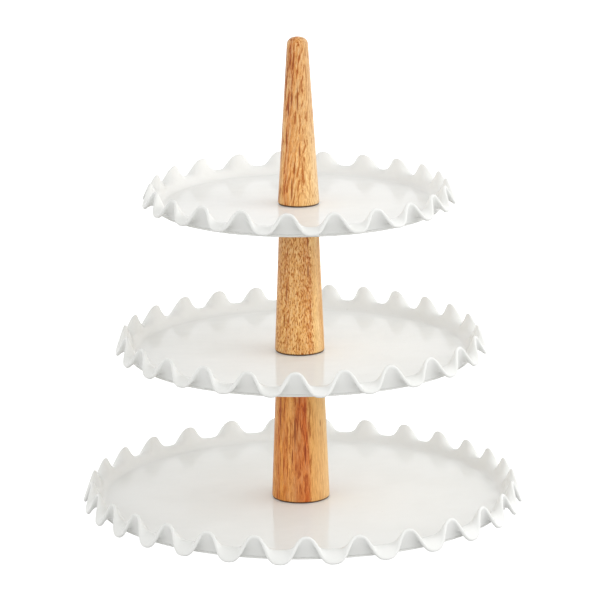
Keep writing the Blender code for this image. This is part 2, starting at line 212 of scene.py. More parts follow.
class Finish:
    """A Principled material whose colour, gloss and relief are worked out by nodes."""

    def __init__(self, name, **constants):
        self.material = bpy.data.materials.new(name)
        self.material.use_nodes = True
        self.tree = self.material.node_tree
        self.shader = self.tree.nodes["Principled BSDF"]
        for socket, value in constants.items():
            self.shader.inputs[socket.replace("_", " ")].default_value = value
        self.place = self.add("ShaderNodeTexCoord", {}).outputs["Object"]

    def add(self, kind, inputs, **settings):
        node = self.tree.nodes.new(kind)
        for setting, value in settings.items():
            setattr(node, setting, value)
        for socket, value in inputs.items():
            self.feed(node.inputs[socket], value)
        return node

    def feed(self, socket, value):
        if isinstance(value, bpy.types.NodeSocket):
            self.tree.links.new(value, socket)
        else:
            socket.default_value = value

    def maths(self, operation, *values):
        return self.add("ShaderNodeMath", dict(enumerate(values)), operation=operation).outputs[0]

    def vectors(self, operation, *values):
        return self.add("ShaderNodeVectorMath", dict(enumerate(values)), operation=operation).outputs[0]

    def stretched(self, scale, vector=None):
        inputs = {"Vector": vector or self.place, "Scale": scale}
        return self.add("ShaderNodeMapping", inputs).outputs["Vector"]

    def noise(self, vector, scale, detail=2.0, roughness=0.5):
        inputs = {"Vector": vector, "Scale": scale, "Detail": detail, "Roughness": roughness}
        return self.add("ShaderNodeTexNoise", inputs).outputs[0]

    def between(self, value, low, high, to_low=0.0, to_high=1.0):
        """A smooth step of value from low to high."""
        inputs = {0: value, 1: low, 2: high, 3: to_low, 4: to_high}
        node = self.add("ShaderNodeMapRange", inputs, interpolation_type="SMOOTHSTEP")
        return node.outputs[0]

    def mix(self, share, first, second, blend="MIX"):
        inputs = {0: share, 6: first, 7: second}
        node = self.add("ShaderNodeMix", inputs, data_type="RGBA", blend_type=blend)
        return node.outputs[2]

    def ramp(self, position, stops):
        node = self.add("ShaderNodeValToRGB", {0: position})
        set_stops(node.color_ramp, stops)
        return node.outputs["Color"]

    def colour(self, socket):
        self.feed(self.shader.inputs["Base Color"], socket)

    def roughness(self, socket):
        self.feed(self.shader.inputs["Roughness"], socket)

    def relief(self, height, strength, distance):
        inputs = {"Height": height, "Strength": strength, "Distance": distance}
        bump = self.add("ShaderNodeBump", inputs)
        self.feed(self.shader.inputs["Normal"], bump.outputs["Normal"])


def glaze_finish():
    """Glossy white glaze that pools a little, over a warm white body."""
    finish = Finish("glossy_white_glaze", IOR=1.13)
    cloud = finish.noise(finish.place, scale=22.0, detail=3.0)
    speck = finish.noise(finish.place, scale=420.0, detail=2.0)
    share = finish.between(cloud, 0.35, 0.65)
    tone = finish.mix(share, (0.834, 0.837, 0.810, 1.0), (0.858, 0.862, 0.839, 1.0))
    finish.colour(finish.mix(finish.between(speck, 0.70, 0.78), tone, (0.79, 0.785, 0.75, 1.0)))
    gloss = finish.noise(finish.place, scale=60.0, detail=3.0)
    finish.roughness(finish.between(gloss, 0.3, 0.7, 0.075, 0.13))
    ripple = finish.noise(finish.place, scale=55.0, detail=1.0)
    finish.relief(ripple, strength=0.12, distance=0.002)
    return finish.material


def bisque_finish():
    """The bare ground foot, rough and a little creamier than the glaze."""
    finish = Finish("unglazed_foot")
    grain = finish.noise(finish.place, scale=1500.0, detail=4.0, roughness=0.7)
    finish.colour(finish.mix(grain, (0.70, 0.66, 0.59, 1.0), (0.80, 0.77, 0.71, 1.0)))
    finish.roughness(finish.between(grain, 0.2, 0.8, 0.75, 0.95))
    finish.relief(grain, strength=0.35, distance=0.0002)
    return finish.material


# Tones are (degrees round the wood, colour); the paler tones on the right of the front are partly the
# wood's own paler band and partly painted highlight, where the key light falls on that side.
# The tints at the foot and at the head are painted light and shade: they lighten or darken the ends of the
# wood to follow how the light falls along its height.
# calm is where the strip with fewer marks starts and is full, in degrees, and its share of marks.
Wood = namedtuple("Wood", "name seed tones climb streaks flecks lean wander pale calm dashes arcs")
Dash = namedtuple("Dash", "turn height length width")

LOWER_WOOD = Wood(
    name="streaked_lower_wood",
    seed=(0.31, 0.12, 0.05),
    tones=(
        (-180, (0.68, 0.32, 0.099)),
        (-150, (0.80, 0.43, 0.14)),
        (-118, (0.64, 0.27, 0.081)),
        (-88, (0.64, 0.29, 0.09)),
        (-66, (0.76, 0.33, 0.061)),
        (-52, (0.60, 0.17, 0.024)),
        (-42, (0.80, 0.33, 0.054)),
        (-34, (0.64, 0.19, 0.024)),
        (-21, (0.89, 0.41, 0.11)),
        (-9, (0.56, 0.12, 0.012)),
        (3, (0.68, 0.17, 0.022)),
        (12, (0.62, 0.14, 0.019)),
        # from here round to the right side the paler tones are partly the wood's own and partly painted
        # highlight from the key light
        (24, (0.78, 0.39, 0.11)),
        (46, (0.81, 0.47, 0.18)),
        (76, (0.85, 0.55, 0.24)),
        (105, (0.72, 0.35, 0.11)),
        (132, (0.56, 0.19, 0.054)),
        (156, (0.74, 0.35, 0.11)),
        (180, (0.68, 0.32, 0.099)),
    ),
    # tints at the foot and at the head: painted light and shade along the height
    climb=((1.05, 1.07, 1.09, 1.0), (1.04, 1.09, 0.98, 1.0)),
    streaks=0.85,
    flecks=0.22,
    lean=0.0,
    wander=0.0016,
    pale=0.20,
    calm=(18.0, 34.0, 0.35),
    dashes=(
        Dash(-50, 0.60, 0.016, 0.0012),
        Dash(-12, 0.52, 0.024, 0.0012),
        Dash(-18, 0.33, 0.012, 0.0012),
        Dash(10, 0.36, 0.018, 0.0011),
        Dash(50, 0.56, 0.006, 0.0011),
        Dash(9, 0.85, 0.005, 0.0011),
        Dash(-48, 0.89, 0.004, 0.0012),
    ),
    arcs=0.0,
)
MIDDLE_WOOD = Wood(
    name="freckled_middle_wood",
    seed=(0.07, 0.45, 0.21),
    tones=(
        (-180, (0.72, 0.39, 0.13)),
        (-140, (0.66, 0.32, 0.095)),
        (-100, (0.72, 0.40, 0.14)),
        (-78, (0.68, 0.39, 0.14)),
        (-56, (0.78, 0.42, 0.12)),
        (-42, (0.84, 0.49, 0.15)),
        (-33, (0.68, 0.29, 0.063)),
        (-24, (0.87, 0.50, 0.16)),
        (0, (0.87, 0.49, 0.15)),
        (18, (0.82, 0.42, 0.12)),
        (28, (0.72, 0.30, 0.068)),
        # from here round to the right side the paler tones are partly the wood's own and partly painted
        # highlight from the key light
        (37, (0.95, 0.64, 0.25)),
        (55, (0.96, 0.72, 0.37)),
        (68, (0.74, 0.41, 0.14)),
        (80, (0.95, 0.70, 0.36)),
        (120, (0.74, 0.43, 0.15)),
        (150, (0.66, 0.32, 0.095)),
        (180, (0.72, 0.39, 0.13)),
    ),
    # tints at the foot and at the head: painted light and shade along the height
    climb=((1.02, 1.02, 1.02, 1.0), (0.98, 0.90, 0.80, 1.0)),
    streaks=0.45,
    flecks=1.0,
    lean=0.0,
    wander=0.0022,
    pale=0.70,
    calm=(31.0, 42.0, 0.40),
    dashes=(
        Dash(25, 0.83, 0.014, 0.0011),
        Dash(24, 0.60, 0.010, 0.0012),
        Dash(-34, 0.45, 0.014, 0.0011),
        Dash(-40, 0.24, 0.010, 0.0012),
    ),
    arcs=0.0,
)
HANDLE_WOOD = Wood(
    name="figured_handle_wood",
    seed=(0.55, 0.02, 0.40),
    tones=(
        (-180, (0.76, 0.44, 0.16)),
        (-140, (0.66, 0.33, 0.11)),
        (-100, (0.64, 0.37, 0.15)),
        (-75, (0.58, 0.32, 0.14)),
        (-56, (0.79, 0.45, 0.15)),
        (-40, (0.64, 0.24, 0.053)),
        (-26, (0.82, 0.40, 0.11)),
        (-8, (0.90, 0.50, 0.16)),
        (10, (0.88, 0.51, 0.18)),
        # from here round to the right side the paler tones are partly the wood's own and partly painted
        # highlight from the key light
        (30, (0.88, 0.59, 0.25)),
        (55, (0.82, 0.60, 0.32)),
        (85, (0.78, 0.56, 0.31)),
        (125, (0.76, 0.45, 0.16)),
        (155, (0.64, 0.31, 0.095)),
        (180, (0.76, 0.44, 0.16)),
    ),
    # tints at the foot and at the head: painted light and shade along the height
    climb=((1.14, 1.16, 1.18, 1.0), (0.94, 0.80, 0.68, 1.0)),
    streaks=1.0,
    flecks=0.35,
    lean=0.12,
    wander=0.0030,
    pale=0.60,
    calm=(15.0, 60.0, 0.55),
    dashes=(
        Dash(-2, 0.64, 0.018, 0.0013),
        Dash(-26, 0.645, 0.010, 0.0015),
        Dash(-40, 0.575, 0.010, 0.0015),
        Dash(-22, 0.855, 0.012, 0.0011),
        Dash(-45, 0.40, 0.012, 0.0014),
        Dash(-20, 0.10, 0.016, 0.0011),
        Dash(4, 0.33, 0.009, 0.0012),
        Dash(-12, 0.225, 0.010, 0.0012),
    ),
    arcs=0.42,
)


def wandering_place(finish, place, z, wood):
    """The place leaned over and pushed about by soft noise, so that the grain runs in waves."""
    inputs = {"Vector": finish.stretched((1.0, 1.0, 0.45), place), "Scale": 150.0, "Detail": 1.0}
    push = finish.add("ShaderNodeTexNoise", inputs).outputs["Color"]
    centred = finish.vectors("SUBTRACT", push, (0.5, 0.5, 0.5))
    sideways = finish.vectors("MULTIPLY", centred, (wood.wander, wood.wander, 0.0))
    pushed = finish.vectors("ADD", place, sideways)
    leaned = finish.vectors("MULTIPLY", z, (-wood.lean, 0.0, 0.0))
    return finish.vectors("ADD", pushed, leaned)


def tones_around(finish, wood, turn, place):
    """Broad bands of tone that run up the wood and wander a little on the way; the pale bands on the right
    of the front are partly painted highlight.
    """
    slow = finish.noise(finish.stretched((1.0, 1.0, 0.22), place), scale=95.0, detail=2.0)
    wander = finish.maths("MULTIPLY_ADD", slow, BAND_WANDER, -0.5 * BAND_WANDER)
    wandering = finish.maths("ADD", turn, wander)
    position = finish.maths("MULTIPLY_ADD", wandering, 0.5 / math.pi, 0.5)
    stops = [((degrees + 180.0) / 360.0, colour) for degrees, colour in wood.tones]
    tone = finish.ramp(position, stops)
    fade = finish.noise(finish.stretched((1.0, 1.0, 0.35), place), scale=60.0, detail=1.0)
    common = (*wood.tones[0][1], 1.0)
    return finish.mix(finish.between(fade, 0.45, 0.75, 0.0, 0.5), tone, common)


def dash_marks(finish, wood, turn, z, low, high, radius):
    """The largest pores: single dark dashes at known places."""
    mark = 0.0
    for dash in wood.dashes:
        sideways = finish.maths("SUBTRACT", turn, math.radians(dash.turn))
        across = finish.maths("MULTIPLY", sideways, 2.0 * radius / dash.width)
        middle = low + dash.height * (high - low)
        along = finish.maths("MULTIPLY", finish.maths("SUBTRACT", z, middle), 2.0 / dash.length)
        square = finish.maths("MULTIPLY", across, across)
        far = finish.maths("MULTIPLY_ADD", along, along, square)
        mark = finish.maths("MAXIMUM", mark, finish.between(far, 0.2, 1.4, 1.0, 0.0))
    return mark


def arc_lines(finish, wood, turn, z, place, low, high, radius):
    """Uneven nested arches low on the front, where the cut runs out of the growth rings."""
    arc = finish.maths("MULTIPLY", finish.maths("SUBTRACT", turn, ARC_TURN), radius)
    level = finish.maths("MULTIPLY_ADD", finish.maths("MULTIPLY", arc, arc), ARC_DROP, z)
    bend = finish.noise(place, scale=130.0, detail=2.0)
    level = finish.maths("MULTIPLY_ADD", bend, ARC_BEND, level)
    inputs = {"W": level, "Scale": ARC_SCALE, "Detail": 2.0}
    line = finish.add("ShaderNodeTexNoise", inputs, noise_dimensions="1D").outputs[0]
    full, none = (low + share * (high - low) for share in ARC_FADE)
    below = finish.between(z, full, none, 1.0, 0.0)
    front = finish.between(finish.maths("ABSOLUTE", turn), *ARC_SIDES, 1.0, 0.0)
    where = finish.maths("MULTIPLY", below, front)
    return finish.maths("MULTIPLY", finish.between(line, 0.50, 0.60, 0.0, wood.arcs), where)


def calm_share(finish, wood, turn):
    """1 where the wood is fully marked, and less on the calm strip at the right of its front."""
    degrees = finish.maths("MULTIPLY", turn, 180.0 / math.pi)
    start, end, share = wood.calm
    right = finish.between(finish.maths("ABSOLUTE", degrees), start, end, 1.0, share)
    left = finish.between(degrees, 0.0, 1.0, 1.0, 0.0)
    marked = finish.maths("MAXIMUM", right, left)
    return finish.maths("MAXIMUM", marked, finish.between(degrees, *CALM_END_DEGREES))


def grain_marks(finish, wood, turn, wavy):
    """Two shares, of dark and of pale marks: long streaks and short flecks."""
    calm = calm_share(finish, wood, turn)
    streak = finish.noise(finish.stretched(STREAK_REACH, wavy), scale=820.0, detail=3.0, roughness=0.62)
    fleck = finish.noise(finish.stretched(FLECK_REACH, wavy), scale=1350.0, detail=2.0, roughness=0.55)
    marks = []
    for noise, levels, amount in (
        (streak, STREAK_LEVELS, wood.streaks),
        (fleck, FLECK_LEVELS, wood.flecks),
    ):
        share = finish.maths("MULTIPLY", calm, amount)
        dark = finish.maths("MULTIPLY", finish.between(noise, levels[2], levels[3]), share)
        pale = finish.maths("MULTIPLY", finish.between(noise, levels[0], levels[1], 1.0, 0.0), share)
        marks.append((dark, pale))
    (dark_streak, pale_streak), (dark_fleck, pale_fleck) = marks
    dark = finish.maths("MAXIMUM", dark_streak, dark_fleck)
    return dark, finish.maths("MAXIMUM", pale_streak, pale_fleck)


def wood_finish(wood, low, high, radius):
    """Oiled wood standing on end between two heights; its grain runs up it."""
    finish = Finish(wood.name, IOR=1.45, Specular_IOR_Level=0.32)
    place = finish.vectors("ADD", finish.place, wood.seed)
    x, y, z = finish.add("ShaderNodeSeparateXYZ", {0: finish.place}).outputs
    turn = finish.maths("ARCTAN2", x, finish.maths("MULTIPLY", y, -1.0))
    wavy = wandering_place(finish, place, z, wood)
    tone = tones_around(finish, wood, turn, place)

    dark, pale = grain_marks(finish, wood, turn, wavy)
    fine = finish.noise(finish.stretched(FINE_REACH, place), scale=2200.0, detail=3.0, roughness=0.6)
    if wood.arcs:
        arcs = arc_lines(finish, wood, turn, z, place, low, high, radius)
        dark = finish.maths("MAXIMUM", dark, arcs)
    pore = dash_marks(finish, wood, turn, z, low, high, radius)

    # Painted light and shade: the ends of the wood are lightened or darkened along its height.
    climb = finish.mix(finish.between(z, low, high), *wood.climb)
    tone = finish.mix(1.0, tone, climb, "MULTIPLY")
    light = finish.mix(wood.pale, tone, PALE_WOOD)
    deep = finish.mix(1.0, tone, DEEP_WOOD, "MULTIPLY")
    deepest = finish.mix(1.0, tone, DEEPEST_WOOD, "MULTIPLY")
    tone = finish.mix(pale, tone, light)
    tone = finish.mix(finish.between(fine, 0.35, 0.65, 0.0, FINE_DARKENING), tone, deep)
    tone = finish.mix(dark, tone, deep)
    finish.colour(finish.mix(pore, tone, deepest))
    finish.roughness(finish.maths("MULTIPLY_ADD", dark, PORE_GLOSS_LOSS, WOOD_ROUGHNESS))
    hollow = finish.maths("MULTIPLY_ADD", finish.maths("MAXIMUM", dark, pore), -1.0, fine)
    finish.relief(hollow, strength=0.3, distance=0.0002)
    return finish.material


def zinc_finish():
    """Zinc plate on steel, with fine turning marks and a faint clouding."""
    finish = Finish("zinc_plated_steel", Metallic=1.0)
    cloud = finish.noise(finish.place, scale=350.0, detail=3.0)
    finish.colour(finish.mix(cloud, (0.56, 0.56, 0.54, 1.0), (0.72, 0.72, 0.70, 1.0)))
    marks = finish.noise(finish.stretched((1.0, 1.0, 14.0)), scale=900.0, detail=3.0)
    finish.roughness(finish.between(marks, 0.25, 0.75, 0.24, 0.42))
    finish.relief(marks, strength=0.15, distance=0.00008)
    return finish.material


def rubber_finish():
    """Dull dark rubber with a dusty bloom."""
    finish = Finish("dark_rubber")
    bloom = finish.noise(finish.place, scale=700.0, detail=4.0, roughness=0.65)
    finish.colour(finish.mix(bloom, (0.085, 0.045, 0.022, 1.0), (0.150, 0.085, 0.045, 1.0)))
    finish.roughness(finish.between(bloom, 0.2, 0.8, 0.62, 0.82))
    finish.relief(bloom, strength=0.25, distance=0.0001)
    return finish.material


def silicone_finish():
    """Milky silicone with a soft satin skin."""
    finish = Finish("pad_silicone", IOR=1.41)
    cloud = finish.noise(finish.place, scale=500.0, detail=3.0)
    finish.colour(finish.mix(cloud, (0.70, 0.70, 0.68, 1.0), (0.80, 0.80, 0.78, 1.0)))
    finish.roughness(finish.between(cloud, 0.3, 0.7, 0.40, 0.52))
    finish.relief(cloud, strength=0.10, distance=0.0001)
    return finish.material


def add_piece(name, points, faces, materials, body, nodes, sharp=None):
    """A smooth mesh in the frame's coordinates, riding on a body in place of its CAD nodes."""
    mesh = bpy.data.meshes.new(name)
    mesh.from_pydata([tuple(point) for point in points], [], faces)
    for material in materials:
        mesh.materials.append(material)
    mesh.shade_smooth()
    if sharp:
        mesh.set_sharp_from_angle(angle=math.radians(sharp))
    piece = bpy.data.objects.new(name, mesh)
    bpy.context.scene.collection.objects.link(piece)
    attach(piece, body)
    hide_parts(*nodes)
    return piece


def looped_faces(rings, columns, closed):
    """Quads over a grid of rings; each ring closes on itself, and so may the stack of rings."""
    faces = []
    for ring in range(rings if closed else rings - 1):
        here = ring * columns
        there = (ring + 1) % rings * columns
        for column in range(columns):
            after = (column + 1) % columns
            faces.append((here + column, here + after, there + after, there + column))
    return faces


def around(radius, height, angles, shift=0.0):
    """A ring of points at the given angles; radius and height may vary along it."""
    radius = np.broadcast_to(radius, angles.shape)
    height = np.broadcast_to(height, angles.shape)
    return np.stack((shift + radius * np.sin(angles), -radius * np.cos(angles), height), axis=1)


def unit(vectors):
    return vectors / np.linalg.norm(vectors, axis=1, keepdims=True)


def wave_angle(tier, wave):
    """The angle in radians of a place in the ruffle; whole numbers are crests."""
    even = np.radians(tier.first_crest + 360.0 * wave / tier.waves)
    sway, sway_at = np.radians(tier.sway)
    twist, twist_at = np.radians(tier.twist)
    return even + sway * np.cos(even - sway_at) + twist * np.cos(2 * even - twist_at)


def crest_share(wave):
    """1 on a crest and 0 on a spout, with round crests, steep sides and broad spouts."""
    share = (0.5 + 0.5 * np.cos(2 * math.pi * wave)) ** SPOUT_BREADTH
    steep = share * share * (3.0 - 2.0 * share)
    return share + STEEPNESS * (steep - share)


def rim_middle(tier, wave, t):
    """The middle of the rim's wall: t runs from its foot at 0 to its lip at 1."""
    angle = wave_angle(tier, wave)
    crest = crest_share(wave)
    s = 1.0 - t
    weights = (s * s * s, 3 * s * s * t, 3 * s * t * t, t * t * t)
    crest_corners = RIM_CREST + ((CREST_REACH, tier.crest_height),)
    spout_corners = RIM_SPOUT + ((SPOUT_REACH, tier.spout_height),)
    out = 0.0
    up = 0.0
    for weight, high, low in zip(weights, crest_corners, spout_corners):
        out = out + weight * (crest * high[0] + (1.0 - crest) * low[0])
        up = up + weight * (crest * high[1] + (1.0 - crest) * low[1])
    slow = SLOW_SHARE * np.sin(3 * angle + tier.waves)
    quick = QUICK_SHARE * np.sin(7 * angle + 0.5 * tier.waves)
    foot = RIM_CREST[0][1]
    height = foot + (up - foot) * (1.0 + slow + quick)
    return around(tier.base_radius + out, height, angle, tier.shift)


def rim_frame(tier, wave, t):
    """The wall's middle, its way up to the lip and its normal towards the plate's inside."""
    along = rim_middle(tier, wave + CURVE_STEP, t) - rim_middle(tier, wave - CURVE_STEP, t)
    rise = rim_middle(tier, wave, t + CURVE_STEP) - rim_middle(tier, wave, t - CURVE_STEP)
    normal = unit(np.cross(rise, along))
    return rim_middle(tier, wave, t), unit(np.cross(along, normal)), normal


def half_thickness(t):
    return 0.5 * (RIM_BASE_THICKNESS + (RIM_LIP_THICKNESS - RIM_BASE_THICKNESS) * t)


def hermite(start, start_way, end, end_way, share):
    """A point on the cubic curve that leaves start along start_way and reaches end along end_way."""
    s2 = share * share
    s3 = s2 * share
    return (
        start * (2 * s3 - 3 * s2 + 1)
        + start_way * (s3 - 2 * s2 + share)
        + end * (3 * s2 - 2 * s3)
        + end_way * (s3 - s2)
    )


def round_corners(corners, rounding):
    """A (radius, height) outline whose inner corners are replaced by small arcs."""
    outline = [corners[0]]
    for before, corner, after in zip(corners, corners[1:], corners[2:]):
        corner = Vector(corner)
        back = Vector(before) - corner
        on = Vector(after) - corner
        reach = min(rounding, CORNER_SHARE * back.length, CORNER_SHARE * on.length)
        start = corner + back.normalized() * reach
        end = corner + on.normalized() * reach
        for step in range(CORNER_STEPS + 1):
            share = step / CORNER_STEPS
            first = start.lerp(corner, share)
            second = corner.lerp(end, share)
            outline.append(tuple(first.lerp(second, share)))
    outline.append(corners[-1])
    return outline


def floor_rings(tier, angle):
    """Rings of the plate's floor, from the centre hole to the start of the rim's fillet."""
    edge_radius = tier.base_radius - FLOOR_EDGE_INSET
    rings = [around(radius, FLOOR_TOP, angle) for radius in FLAT_FLOOR_RADII]
    for share in np.linspace(0.0, 1.0, FLOOR_STEPS):
        lift = share * share * (3.0 - 2.0 * share) * (FLOOR_EDGE_TOP - FLOOR_TOP)
        radius = FLAT_CENTRE_RADIUS + share * (edge_radius - FLAT_CENTRE_RADIUS)
        rings.append(around(radius, FLOOR_TOP + lift, angle, share * tier.shift))
    return rings


def rim_rings(tier, wave, floor_edge):
    """Rings of the fillet, the rim's inner face, its rounded lip and its outer face."""
    outward = around(1.0, 0.0, wave_angle(tier, wave))
    middle, rise, normal = rim_frame(tier, wave, FILLET_END)
    wall_start = middle + normal * half_thickness(FILLET_END)
    reach = np.linalg.norm(wall_start - floor_edge, axis=1, keepdims=True)
    rings = []
    for share in np.linspace(0.0, 1.0, FILLET_STEPS, endpoint=False)[1:]:
        rings.append(hermite(floor_edge, outward * reach, wall_start, rise * reach, share))
    for t in np.linspace(FILLET_END, 1.0, WALL_STEPS):
        middle, rise, normal = rim_frame(tier, wave, t)
        rings.append(middle + normal * half_thickness(t))
    for turn in np.linspace(0.0, math.pi, LIP_STEPS + 1)[1:-1]:
        bead = normal * math.cos(turn) + rise * math.sin(turn)
        rings.append(middle + bead * half_thickness(1.0))
    for t in np.linspace(1.0, 0.0, OUTER_STEPS):
        middle, rise, normal = rim_frame(tier, wave, t)
        rings.append(middle - normal * half_thickness(t))
    return rings


def underside_outline(tier):
    """The (radius, height) outline from the rim's foot, round the foot ring, to the hole."""
    wall_foot = tier.base_radius + RIM_CREST[0][0] + 0.5 * RIM_BASE_THICKNESS
    foot_outer = FOOT_OUTER_SHARE * tier.base_radius
    foot_inner = FOOT_INNER_SHARE * tier.base_radius
    corners = [(wall_foot, RIM_CREST[0][1]), (wall_foot - GROOVE_DEPTH, GROOVE_HEIGHT)]
    corners += [(wall_foot - GROOVE_DEPTH, GROOVE_HEIGHT - GROOVE_WIDTH)]
    corners += [(wall_foot, -GROOVE_WIDTH)]
    corners += [(tier.base_radius - LOWER_EDGE_INSET, LOWER_EDGE_DROP)]
    corners += [(tier.base_radius - UNDER_EDGE_INSET, UNDER_EDGE_DROP)]
    corners += [(foot_outer + FOOT_TAPER, FLOOR_BOTTOM), (foot_outer, -FOOT_DEPTH)]
    corners += [(foot_inner, -FOOT_DEPTH), (foot_inner - FOOT_TAPER, FLOOR_BOTTOM)]
    corners += [(INNER_UNDERSIDE_RADIUS, FLOOR_BOTTOM), (HOLE_RADIUS, FLOOR_BOTTOM)]
    return round_corners(corners, FOOT_ROUNDING)[1:]


def plate_rings(tier, datum):
    """Rings of points from the centre hole's top, over the rim and back under the foot."""
    wave = (np.arange(tier.waves * COLUMNS_PER_WAVE) + 0.5) / COLUMNS_PER_WAVE
    angle = wave_angle(tier, wave)
    rings = floor_rings(tier, angle)
    rings += rim_rings(tier, wave, rings[-1])
    outline = underside_outline(tier)
    ground = [index for index, (_, height) in enumerate(outline) if height < -BARE_DEPTH_SHARE * FOOT_DEPTH]
    bare = (len(rings) + ground[0], len(rings) + ground[-1])
    shifted_from = FOOT_OUTER_SHARE * tier.base_radius + FOOT_TAPER
    for radius, height in outline:
        share = (radius - shifted_from) / (tier.base_radius - UNDER_EDGE_INSET - shifted_from)
        rings.append(around(radius, height, angle, min(1.0, max(0.0, share)) * tier.shift))
    stacked = np.array(rings)
    stacked[:, :, 2] += datum
    return stacked, bare


def make_plate(tier, glaze, bisque):
    low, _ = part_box(tier.node)
    datum = low.z + FOOT_DEPTH
    rings, bare = plate_rings(tier, datum)
    count, columns, _ = rings.shape
    faces = looped_faces(count, columns, closed=True)
    name = f"glazed_{tier.node}"
    piece = add_piece(
        name, rings.reshape(-1, 3), faces, (glaze, bisque), tier.body, (tier.node,)
    )
    indices = np.zeros(len(faces), np.int32)
    indices[bare[0] * columns : bare[1] * columns] = 1
    piece.data.polygons.foreach_set("material_index", indices)
    return piece


def turned(outline, sides, centre=(0.0, 0.0)):
    """Points and faces of a solid of revolution; ends at radius 0 are closed by a fan."""
    angles = np.linspace(0.0, 2 * math.pi, sides, endpoint=False)
    open_outline = [corner for corner in outline if corner[0] > 0.0]
    rings = [around(radius, height, angles) for radius, height in open_outline]
    ends_closed = outline[0][0] <= 0.0
    faces = looped_faces(len(open_outline), sides, closed=not ends_closed)
    points = np.concatenate(rings)
    if ends_closed:
        last = len(points) - sides
        for height, ring in ((outline[0][1], 0), (outline[-1][1], last)):
            points = np.vstack((points, (0.0, 0.0, height)))
            for side in range(sides):
                pair = (ring + side, ring + (side + 1) % sides)
                pair = pair if ring else pair[::-1]
                faces.append((*pair, len(points) - 1))
    points[:, :2] += centre
    return points, faces


def turned_piece(name, node, body, outline, sides, material, centre=(0.0, 0.0)):
    points, faces = turned(outline, sides, centre)
    return add_piece(name, points, faces, (material,), body, (node,), TURNED_SHARP)


def radius_at(node, level):
    """The outer radius of a CAD node at the given height."""
    points = np.array([vertex.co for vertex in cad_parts[node].data.vertices])
    near = np.abs(points[:, 2] - level) < LEVEL_REACH
    return float(np.hypot(points[near, 0], points[near, 1]).max())


def pocket_corners(foot, level):
    """The corners of the underside of a wooden piece, from its edge up into the insert's pocket."""
    top = level + POCKET_DEPTH
    return [(foot, level), (POCKET_RADIUS, level), (POCKET_RADIUS, top), (0.0, top)]


def make_post(node, body, wood):
    """A tapered post with eased edges, an insert pocket below and a stud bore on top."""
    low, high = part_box(node)
    foot, head = radius_at(node, low.z), radius_at(node, high.z)
    bore_end = high.z - STUD_BORE_DEPTH
    corners = [(0.0, bore_end), (STUD_BORE_RADIUS, bore_end), (STUD_BORE_RADIUS, high.z)]
    corners += [(head, high.z)] + pocket_corners(foot, low.z)
    outline = round_corners(corners, POST_ROUNDING)
    material = wood_finish(wood, low.z, high.z, 0.5 * (foot + head))
    return turned_piece(
        f"turned_{node}", node, body, outline, POST_SIDES, material
    )


def make_handle(wood):
    """The tapered grip; its top is rounded over to a soft dome."""
    low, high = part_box("top_handle")
    foot = radius_at("top_handle", low.z)
    shoulder = high.z - HANDLE_DOME
    dome = []
    for step in range(1, DOME_STEPS):
        turn = 0.5 * math.pi * step / DOME_STEPS
        height = shoulder + HANDLE_DOME * math.cos(turn) ** DOME_FULLNESS
        dome.append((HANDLE_TOP_RADIUS * math.sin(turn) ** DOME_FULLNESS, height))
    base = [(HANDLE_TOP_RADIUS, shoulder)] + pocket_corners(foot, low.z)
    outline = [(0.0, high.z)] + dome + round_corners(base, POST_ROUNDING)
    radius = 0.5 * (foot + HANDLE_TOP_RADIUS)
    material = wood_finish(wood, low.z, high.z, radius)
    return turned_piece(
        "turned_top_handle", "top_handle", "handle", outline, POST_SIDES, material
    )


def circle_angles():
    return np.linspace(0.0, 2 * math.pi, SMALL_SIDES, endpoint=False)


def thread_rings(start, end, radius, depth):
    """Rings of a right-handed thread, cut in by depth (out, if it is negative), from start to end."""
    angles = circle_angles()
    count = max(3, round(abs(end - start) / THREAD_PITCH * RINGS_PER_PITCH))
    rings = []
    for height in np.linspace(start, end, count):
        phase = (height / THREAD_PITCH - angles / (2 * math.pi)) % 1.0
        groove = np.clip(THREAD_FLANK * np.abs(phase - 0.5) - THREAD_LAND, 0.0, 1.0)
        fade = min(1.0, abs(height - start) / THREAD_PITCH, abs(end - height) / THREAD_PITCH)
        rings.append(around(radius - depth * groove * fade, height, angles))
    return rings


def capped_piece(name, node, body, rings, zinc):
    """A metal piece from a stack of rings whose first and last are closed by flat faces."""
    faces = looped_faces(len(rings), SMALL_SIDES, closed=False)
    last = (len(rings) - 1) * SMALL_SIDES
    faces.append(tuple(range(SMALL_SIDES))[::-1])
    faces.append(tuple(range(last, last + SMALL_SIDES)))
    points = np.concatenate(rings)
    add_piece(name, points, faces, (zinc,), body, (node,), METAL_SHARP)


def make_stud(node, body, zinc):
    """A threaded rod with chamfered ends."""
    low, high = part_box(node)
    radius = 0.5 * (high.x - low.x)
    angles = circle_angles()
    rings = [around(radius - THREAD_DEPTH, low.z, angles)]
    rings += thread_rings(low.z + THREAD_DEPTH, high.z - THREAD_DEPTH, radius, THREAD_DEPTH)
    rings += [around(radius - THREAD_DEPTH, high.z, angles)]
    capped_piece(f"threaded_{node}", node, body, rings, zinc)


def make_base_screw(zinc):
    """A low-headed screw: hexagon socket, eased head and threaded shank."""
    low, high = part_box("base_screw")
    head_radius = 0.5 * (high.x - low.x)
    angles = circle_angles()
    sixth = math.pi / 3
    hexagon = SOCKET_RADIUS * math.cos(sixth / 2) / np.cos(angles % sixth - sixth / 2)
    under_head = low.z + HEAD_THICKNESS
    rings = [around(hexagon, low.z + SOCKET_DEPTH, angles), around(hexagon, low.z, angles)]
    for turn in np.linspace(0.0, 0.5 * math.pi, HEAD_STEPS):
        edge = head_radius - HEAD_EASING * (1.0 - math.sin(turn))
        rings.append(around(edge, low.z + HEAD_EASING * (1.0 - math.cos(turn)), angles))
    rings += [around(head_radius, under_head, angles), around(SHANK_RADIUS, under_head, angles)]
    rings += thread_rings(under_head + THREAD_PITCH, high.z - THREAD_DEPTH, SHANK_RADIUS, THREAD_DEPTH)
    rings += [around(SHANK_RADIUS - THREAD_DEPTH, high.z, angles)]
    capped_piece("threaded_base_screw", "base_screw", "base_fastener", rings, zinc)


